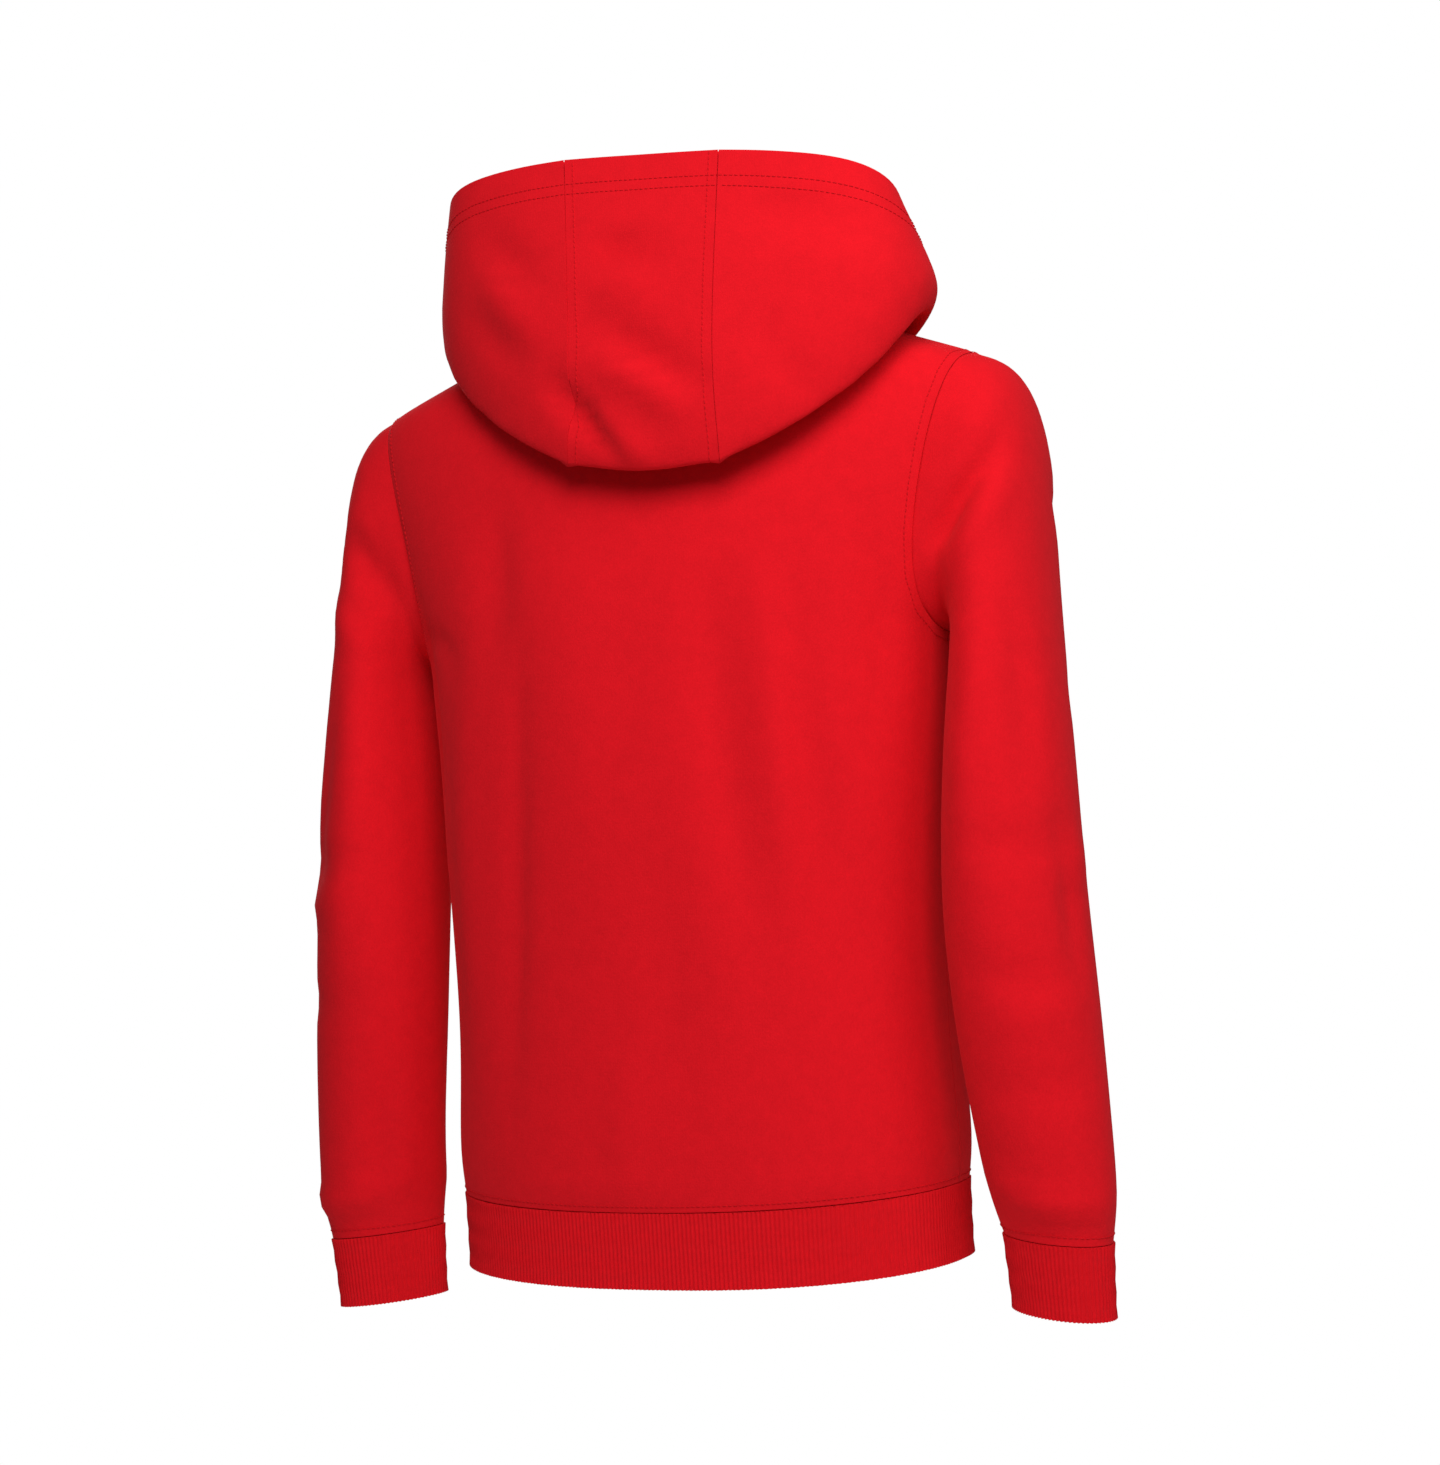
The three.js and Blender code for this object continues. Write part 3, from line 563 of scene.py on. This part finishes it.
def smoothed(bm, name, levels):
    """The bmesh as a mesh of its own after subdivision, with its creased rims kept."""
    mesh = bpy.data.meshes.new(name)
    bm.to_mesh(mesh)
    bm.free()
    cage = bpy.data.objects.new(name + "_cage", mesh)
    bpy.context.collection.objects.link(cage)
    modifier = cage.modifiers.new("Subdivision", "SUBSURF")
    modifier.levels = modifier.render_levels = levels
    depsgraph = bpy.context.evaluated_depsgraph_get()
    fine = bpy.data.meshes.new_from_object(cage.evaluated_get(depsgraph))
    fine.name = name
    bpy.data.objects.remove(cage)
    fine.shade_smooth()
    return fine


def coordinates(mesh):
    """The places of a mesh's vertices, in millimetres."""
    points = np.empty(len(mesh.vertices) * 3)
    mesh.vertices.foreach_get("co", points)
    return points.reshape(-1, 3) / MM


def set_coordinates(mesh, points):
    """Puts a mesh's vertices at places in millimetres."""
    mesh.vertices.foreach_set("co", (points * MM).ravel())
    mesh.update()


def outward(points, middle, side):
    """Level unit vectors away from a form's middle line."""
    rows = sorted(middle, key=lambda row: row["z"])
    heights = [row["z"] for row in rows]
    x = side * np.interp(points[:, 2], heights, [row["x"] for row in rows])
    y = np.interp(points[:, 2], heights, [row["y"] for row in rows])
    away = np.stack([points[:, 0] - x, points[:, 1] - y, np.zeros(len(points))], 1)
    return away / np.maximum(np.linalg.norm(away, axis=1), 1e-6)[:, None]


def distance_to_path(points, path):
    """Distance of each point to a path of straight stretches, and the share of the path passed."""
    path = np.array(path, float)
    lengths = np.linalg.norm(np.diff(path, axis=0), axis=1)
    passed = np.concatenate([[0], np.cumsum(lengths)])
    best = np.full(len(points), np.inf)
    share = np.zeros(len(points))
    for start, end, before, length in zip(path, path[1:], passed, np.maximum(lengths, 1e-6)):
        along = np.clip((points - start) @ (end - start) / length**2, 0, 1)
        away = np.linalg.norm(points - start - along[:, None] * (end - start), axis=1)
        nearer = away < best
        best[nearer] = away[nearer]
        share[nearer] = (before + along[nearer] * length) / passed[-1]
    return best, share


def surface_tree(nodes):
    """The faces of some nodes of the frame, to find the nearest place on them."""
    verts, faces = [], []
    for node in nodes:
        mesh = frame["nodes"][node].data
        faces += [[len(verts) + i for i in polygon.vertices] for polygon in mesh.polygons]
        verts += [vert.co for vert in mesh.vertices]
    return BVHTree.FromPolygons(verts, faces)


def point_tree(places):
    """Some places, to find the nearest of them."""
    tree = KDTree(len(places))
    for i, place in enumerate(places):
        tree.insert(place, i)
    tree.balance()
    return tree


def laid_path(tree, through):
    """A fold's path in short steps, its corners rounded, laid on the cloth."""
    step, roundings = 4, 12
    path = np.array(through, float)
    passed = np.concatenate([[0], np.cumsum(np.linalg.norm(np.diff(path, axis=0), axis=1))])
    steps = np.linspace(0, passed[-1], max(4, round(passed[-1] / step)))
    path = np.stack([np.interp(steps, passed, path[:, axis]) for axis in range(3)], axis=1)
    for _ in range(roundings):
        path[1:-1] = (path[:-2] + 2 * path[1:-1] + path[2:]) / 4
    return np.array([tree.find_nearest(Vector(place * MM))[0] for place in path]) / MM


def laid_folds(nodes, folds):
    """The folds that cross a group of panels, with their paths laid on the group's frame."""
    tree = surface_tree(nodes)
    return [dict(fold, through=laid_path(tree, fold["through"])) for fold in folds]


def bend(points, folds, directions, strength):
    """Pushes points in or out along each fold, deepest at the fold's middle and fading at its ends."""
    least = 0.1
    moved = points.copy()
    for fold in folds:
        away, share = distance_to_path(points, fold["through"])
        swell = np.exp(-((away / fold["width"]) ** 2)) * (least + (1 - least) * np.sin(np.pi * share))
        moved += directions * (strength * fold["depth"] * swell)[:, None]
    return moved


def seam_points(node, other):
    """Points about 1 mm apart along the edges of a node's wall that lie against another node, or
    along its free edges."""
    reach = 0.9 * MM
    wall, _, bounds = merged_wall(node)
    near = surface_tree([other] if other != EDGE else [name for name in frame["nodes"] if name != node])
    found = []
    for edge in bounds:
        start, end = (vert.co for vert in edge.verts)
        touches = all(near.find_nearest(place, reach)[0] for place in (start, end))
        if touches != (other == EDGE):
            count = max(1, round((end - start).length / MM))
            found += [start.lerp(end, i / count) for i in range(count + 1)]
    wall.free()
    return found


def row_lines(mesh, seam, off, outer):
    """Lines at one distance from a seam over the faces that outer allows: places and normals."""
    shortest = 3  # crossings, below which a line is only a scrap at a corner
    tree = point_tree(seam)
    far = [tree.find(vert.co)[2] / MM for vert in mesh.vertices]
    crossings = {}
    links = {}
    for polygon in mesh.polygons:
        if not outer[polygon.index]:
            continue
        cut = []
        for a, b in polygon.edge_keys:
            if (far[a] - off) * (far[b] - off) < 0:
                low, high = sorted((a, b))
                share = (off - far[low]) / (far[high] - far[low])
                start, end = mesh.vertices[low], mesh.vertices[high]
                normal = start.normal.lerp(end.normal, share).normalized()
                crossings[low, high] = (start.co.lerp(end.co, share), normal)
                cut.append((low, high))
        if len(cut) == 2:
            links.setdefault(cut[0], []).append(cut[1])
            links.setdefault(cut[1], []).append(cut[0])
    lines = []
    left = set(links)
    while left:
        following = [next((key for key in left if len(links[key]) == 1), next(iter(left)))]
        line = []
        while following:
            line.append(following[0])
            left.discard(following[0])
            following = [key for key in links[line[-1]] if key in left]
        lines.append([crossings[key] for key in line])
    return [line for line in lines if len(line) > shortest]


def places_along(line, pitch):
    """Evenly spaced places on a line: position, direction and normal."""
    positions = [point for point, normal in line]
    steps = [(b - a).length for a, b in zip(positions, positions[1:])]
    total = sum(steps)
    places = []
    i, passed = 0, 0.0
    for k in range(int(total / pitch)):
        goal = (k + 0.5) * pitch
        while i < len(steps) - 1 and passed + steps[i] < goal:
            passed += steps[i]
            i += 1
        share = (goal - passed) / steps[i] if steps[i] else 0.0
        way = (positions[i + 1] - positions[i]).normalized()
        normal = line[i][1].lerp(line[i + 1][1], share).normalized()
        places.append((positions[i].lerp(positions[i + 1], share), way, normal))
    return places


def piece_name(node):
    """The name of the piece that replaces a node."""
    return node + ("_rib" if node in RIBS else "_cloth")


def add_piece(mesh, node, material):
    """A finished piece in the place of a node."""
    mesh.materials.clear()
    mesh.materials.append(material)
    piece = bpy.data.objects.new(piece_name(node), mesh)
    bpy.context.collection.objects.link(piece)
    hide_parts(node)
    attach(piece, BODY)


def shared_material(name, make, sizes):
    """The material of that name, made where it is first asked for."""
    return bpy.data.materials.get(name) or make(sizes)


def faces_outwards(mesh, middle, side):
    """For each face, whether it looks clearly away from the form's middle line."""
    least = 0.15
    count = len(mesh.polygons)
    normals, centres = np.empty(count * 3), np.empty(count * 3)
    mesh.polygons.foreach_get("normal", normals)
    mesh.polygons.foreach_get("center", centres)
    away = outward(centres.reshape(-1, 3) / MM, middle, side)
    return (normals.reshape(-1, 3) * away).sum(axis=1) > least


def stitch_shape(sizes):
    """One stitch: a small bar that narrows to its ends, as rings of points and the faces between."""
    sides = 6
    rings = [(-0.5, 0.35), (-0.3, 1.0), (0.3, 1.0), (0.5, 0.35)]
    angles = np.arange(sides) * math.tau / sides
    points = np.array([
        (along * sizes.stitch, *(np.array((math.cos(angle), math.sin(angle))) * wide * sizes.width / 2))
        for along, wide in rings
        for angle in angles
    ])
    faces = [
        (start + sides + i, start + sides + (i + 1) % sides, start + (i + 1) % sides, start + i)
        for start in range(0, sides * (len(rings) - 1), sides)
        for i in range(sides)
    ]
    return points, faces


def stitch_piece(node, material):
    """The stitches on one panel, as one mesh of small bars that lie nearly half in the cloth."""
    proud = 0.2  # of the thread's width, by which a stitch's middle stands over the cloth
    sizes = bpy.context.scene.hoodie_sewing
    cloth = bpy.data.objects[piece_name(node)].data
    outer = faces_outwards(cloth, *MIDDLES[node])
    centres, ways, normals = [], [], []
    for row in (row for row in STITCH_ROWS if row["on"] == node):
        for line in row_lines(cloth, seam_points(node, row["from"]), row["off"], outer):
            for place, way, normal in places_along(line, sizes.pitch):
                centres.append(place + normal * sizes.width * proud)
                ways.append(way)
                normals.append(normal)
    centres, ways, normals = (np.array(rows) for rows in (centres, ways, normals))
    across = np.cross(normals, ways)
    across /= np.linalg.norm(across, axis=1)[:, None]
    axes = np.stack((ways, across, np.cross(ways, across)), axis=1)
    points, faces = stitch_shape(sizes)
    verts = centres[:, None, :] + np.einsum("pk,nkj->npj", points, axes)
    starts = np.arange(len(centres))[:, None, None] * len(points)
    mesh = bpy.data.meshes.new(node + "_stitches")
    mesh.from_pydata(verts.reshape(-1, 3), [], (np.array(faces) + starts).reshape(-1, 4).tolist())
    mesh.shade_smooth()
    mesh.materials.append(material)
    stitches = bpy.data.objects.new(node + "_stitches", mesh)
    bpy.context.collection.objects.link(stitches)
    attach(stitches, BODY)
    return stitches


def freedom(node, points, margin):
    """How far a panel may bend at each point: not at all at its edges, fully at margin from them."""
    wall, _, bounds = merged_wall(node)
    edge_places = [edge.verts[0].co.lerp(edge.verts[1].co, i / 4) for edge in bounds for i in range(4)]
    wall.free()
    tree = point_tree(edge_places)
    away = np.array([tree.find(place)[2] for place in points * MM]) / margin
    away = np.clip(away, 0, 1)
    return away * away * (3 - 2 * away)


def cloth_piece(node, folds):
    """A panel of fleece: the node's wall, smoothed, with its creases."""
    sizes = bpy.context.scene.hoodie_cloth
    middle, side = MIDDLES[node]
    mesh = smoothed(wall_copy(node), piece_name(node), sizes.levels)
    points = coordinates(mesh)
    directions = outward(points, middle, side)
    if node not in HOOD:  # the hood's folds run over its seams
        directions = directions * freedom(node, points, sizes.fold_margin)[:, None]
    set_coordinates(mesh, bend(points, folds, directions, sizes.fold_strength))
    add_piece(mesh, node, shared_material("brushed_fleece", brushed_fleece, sizes))


class HOODIE_OT_body(bpy.types.Operator):
    """Make the back and the plain front"""

    bl_idname = "hoodie.body"
    bl_label = "Back and front"

    def execute(self, context):
        for node in PANELS:
            cloth_piece(node, laid_folds([node], FOLDS[node]))
        return {"FINISHED"}


class HOODIE_OT_sleeves(bpy.types.Operator):
    """Make the two set-in sleeves"""

    bl_idname = "hoodie.sleeves"
    bl_label = "Sleeves"

    def execute(self, context):
        for node in SLEEVES:
            cloth_piece(node, laid_folds([node], FOLDS[node]))
        return {"FINISHED"}


class HOODIE_OT_hood(bpy.types.Operator):
    """Make the hood's two sides and centre panel"""

    bl_idname = "hoodie.hood"
    bl_label = "Hood"

    def execute(self, context):
        folds = laid_folds(HOOD, FOLDS["hood"])
        for node in HOOD:
            cloth_piece(node, folds)
        return {"FINISHED"}


def deepen_ribs(bm, share):
    """Moves each rib out and each groove in, to stand against the smoothing that follows."""
    widest, level = 2 * MM, 0.3 * MM
    moves = {}
    for vert in bm.verts:
        beside = [edge.other_vert(vert).co for edge in vert.link_edges if edge.calc_length() < widest]
        beside = [co for co in beside if abs(co.z - vert.co.z) < level]
        if len(beside) == 2:
            moves[vert] = vert.co - (beside[0] + beside[1]) / 2
    for vert, move in moves.items():
        vert.co += move * share


class HOODIE_OT_ribs(bpy.types.Operator):
    """Make the ribbed cuffs and hem band"""

    bl_idname = "hoodie.ribs"
    bl_label = "Ribs"

    def execute(self, context):
        sizes = context.scene.hoodie_ribs
        material = shared_material("rib_knit", rib_knit, sizes)
        for node in RIBS:
            middle, side = MIDDLES[node]
            bm = wall_copy(node, rows=2)
            deepen_ribs(bm, sizes.relief)
            mesh = smoothed(bm, piece_name(node), levels=1)
            points = coordinates(mesh)
            low, high = points[:, 2].min(), points[:, 2].max()
            share = np.clip((points[:, 2] - low) / (high - low), 0, 1)
            drawn_in = (np.sin(np.pi * share) * sizes.waist + share**3 * sizes.tuck) / MM
            set_coordinates(mesh, points - outward(points, middle, side) * drawn_in[:, None])
            add_piece(mesh, node, material)
        return {"FINISHED"}


class HOODIE_OT_sewing(bpy.types.Operator):
    """Sew the rows of stitches on every piece that has them"""

    bl_idname = "hoodie.sewing"
    bl_label = "Sewing"

    def execute(self, context):
        thread = shared_material("sewing_thread", sewing_thread, context.scene.hoodie_sewing)
        for node, cut in CUTS.items():
            sewn = any(row["on"] == node for row in STITCH_ROWS)
            stitches = [stitch_piece(node, thread)] if sewn else []
        return {"FINISHED"}


class HOODIE_OT_stage(bpy.types.Operator):
    """Make the floor, the lights and the camera"""

    bl_idname = "hoodie.stage"
    bl_label = "Stage"

    def execute(self, context):
        half_floor = 0.8
        sizes = context.scene.hoodie_stage
        bm = bmesh.new()
        bmesh.ops.create_grid(bm, x_segments=1, y_segments=1, size=half_floor)
        bmesh.ops.translate(bm, verts=bm.verts, vec=(0, 0, sizes.floor))
        mesh = bpy.data.meshes.new("floor")
        bm.to_mesh(mesh)
        bm.free()
        mesh.materials.append(seamless_paper(sizes))
        floor = bpy.data.objects.new("floor", mesh)
        context.collection.objects.link(floor)
        self.add_camera(context, sizes)
        self.add_lights(context, sizes)
        self.add_surroundings(context)
        return {"FINISHED"}

    def add_camera(self, context, sizes):
        """The photograph's view: its size in pixels, and the pixel at which the target lies."""
        picture = Vector((1440, 1465))
        target_pixel = Vector((702, 802))
        pixels_per_metre = 1700
        data = bpy.data.cameras.new("camera")
        data.sensor_width = 36
        data.lens = pixels_per_metre * sizes.distance * data.sensor_width / picture.y
        data.shift_x = (picture.x / 2 - target_pixel.x) / picture.y
        data.shift_y = (target_pixel.y - picture.y / 2) / picture.y
        camera = bpy.data.objects.new("camera", data)
        back = Vector((math.sin(sizes.azimuth), -math.cos(sizes.azimuth), 0))
        turn = (-back).to_track_quat("-Z", "Y").to_matrix() @ Matrix.Rotation(-sizes.roll, 3, "Z")
        place = Vector((0, 0, sizes.target)) + back * sizes.distance
        camera.matrix_world = Matrix.Translation(place) @ turn.to_4x4()
        context.collection.objects.link(camera)
        context.scene.camera = camera

    def add_lights(self, context, sizes):
        """Square lamps: around is in degrees from the camera's azimuth, above 0 to the picture's
        right, height is over the point aimed at, and power is in watts."""
        lights = [
            {"name": "key", "around": 44, "height": 0.8, "distance": 1.25, "size": 0.6, "power": 4.5},
            {"name": "main", "around": 2, "height": 1.0, "distance": 1.5, "size": 1.0, "power": 25},
            {"name": "front", "around": 190, "height": 0.9, "distance": 2.8, "size": 2.0, "power": 40},
        ]
        aim_rise = 0.1  # over the camera's target, towards the hood
        aim = Vector((0, 0, sizes.target + aim_rise))
        for light in lights:
            angle = sizes.azimuth + math.radians(light["around"])
            data = bpy.data.lights.new(light["name"], "AREA")
            data.shape = "SQUARE"
            data.size = light["size"]
            data.energy = light["power"]
            lamp = bpy.data.objects.new(light["name"], data)
            way = Vector((math.sin(angle), -math.cos(angle), 0)) * light["distance"]
            lamp.location = aim + way + Vector((0, 0, light["height"]))
            lamp.rotation_euler = (aim - lamp.location).to_track_quat("-Z", "Y").to_euler()
            context.collection.objects.link(lamp)

    def add_surroundings(self, context):
        """A white room that lights the cloth only softly."""
        seen, felt = 1.0, 0.16
        world = bpy.data.worlds.new("studio")
        world.use_nodes = True
        path = add_node(world, "ShaderNodeLightPath")
        strength = add_node(
            world, "ShaderNodeMapRange",
            inputs={"Value": path.outputs["Is Camera Ray"], "To Min": felt, "To Max": seen},
        )
        background = world.node_tree.nodes["Background"]
        background.inputs["Color"].default_value = (1.0, 1.0, 1.0, 1.0)
        world.node_tree.links.new(strength.outputs[0], background.inputs["Strength"])
        context.scene.world = world
        context.scene.view_settings.view_transform = "Standard"


class HOODIE_PT_panel(bpy.types.Panel):
    """Lists the hoodie's pieces in the sidebar."""

    bl_idname = "HOODIE_PT_panel"
    bl_label = "Kids hoodie"
    bl_space_type = "VIEW_3D"
    bl_region_type = "UI"
    bl_category = "Hoodie"

    def draw(self, context):
        for operator in OPERATORS:
            self.layout.operator(operator.bl_idname)
        for name, kind in PROPERTIES.items():
            for field in kind.__annotations__:
                self.layout.prop(getattr(context.scene, name), field)


OPERATORS = [
    HOODIE_OT_body,
    HOODIE_OT_sleeves,
    HOODIE_OT_hood,
    HOODIE_OT_ribs,
    HOODIE_OT_sewing,
    HOODIE_OT_stage,
]
PROPERTIES = {
    "hoodie_cloth": ClothSizes,
    "hoodie_ribs": RibSizes,
    "hoodie_sewing": SewingSizes,
    "hoodie_stage": StageSizes,
}


def register():
    for made in [*PROPERTIES.values(), *OPERATORS, HOODIE_PT_panel]:
        bpy.utils.register_class(made)
    for name, group in PROPERTIES.items():
        setattr(bpy.types.Scene, name, PointerProperty(type=group))


def unregister():
    for name in PROPERTIES:
        delattr(bpy.types.Scene, name)
    for made in reversed([*PROPERTIES.values(), *OPERATORS, HOODIE_PT_panel]):
        bpy.utils.unregister_class(made)


def main():
    register()
    bpy.ops.hoodie.body()
    bpy.ops.hoodie.sleeves()
    bpy.ops.hoodie.hood()
    bpy.ops.hoodie.ribs()
    bpy.ops.hoodie.sewing()
    bpy.ops.hoodie.stage()


if __name__ == "__main__":
    main()
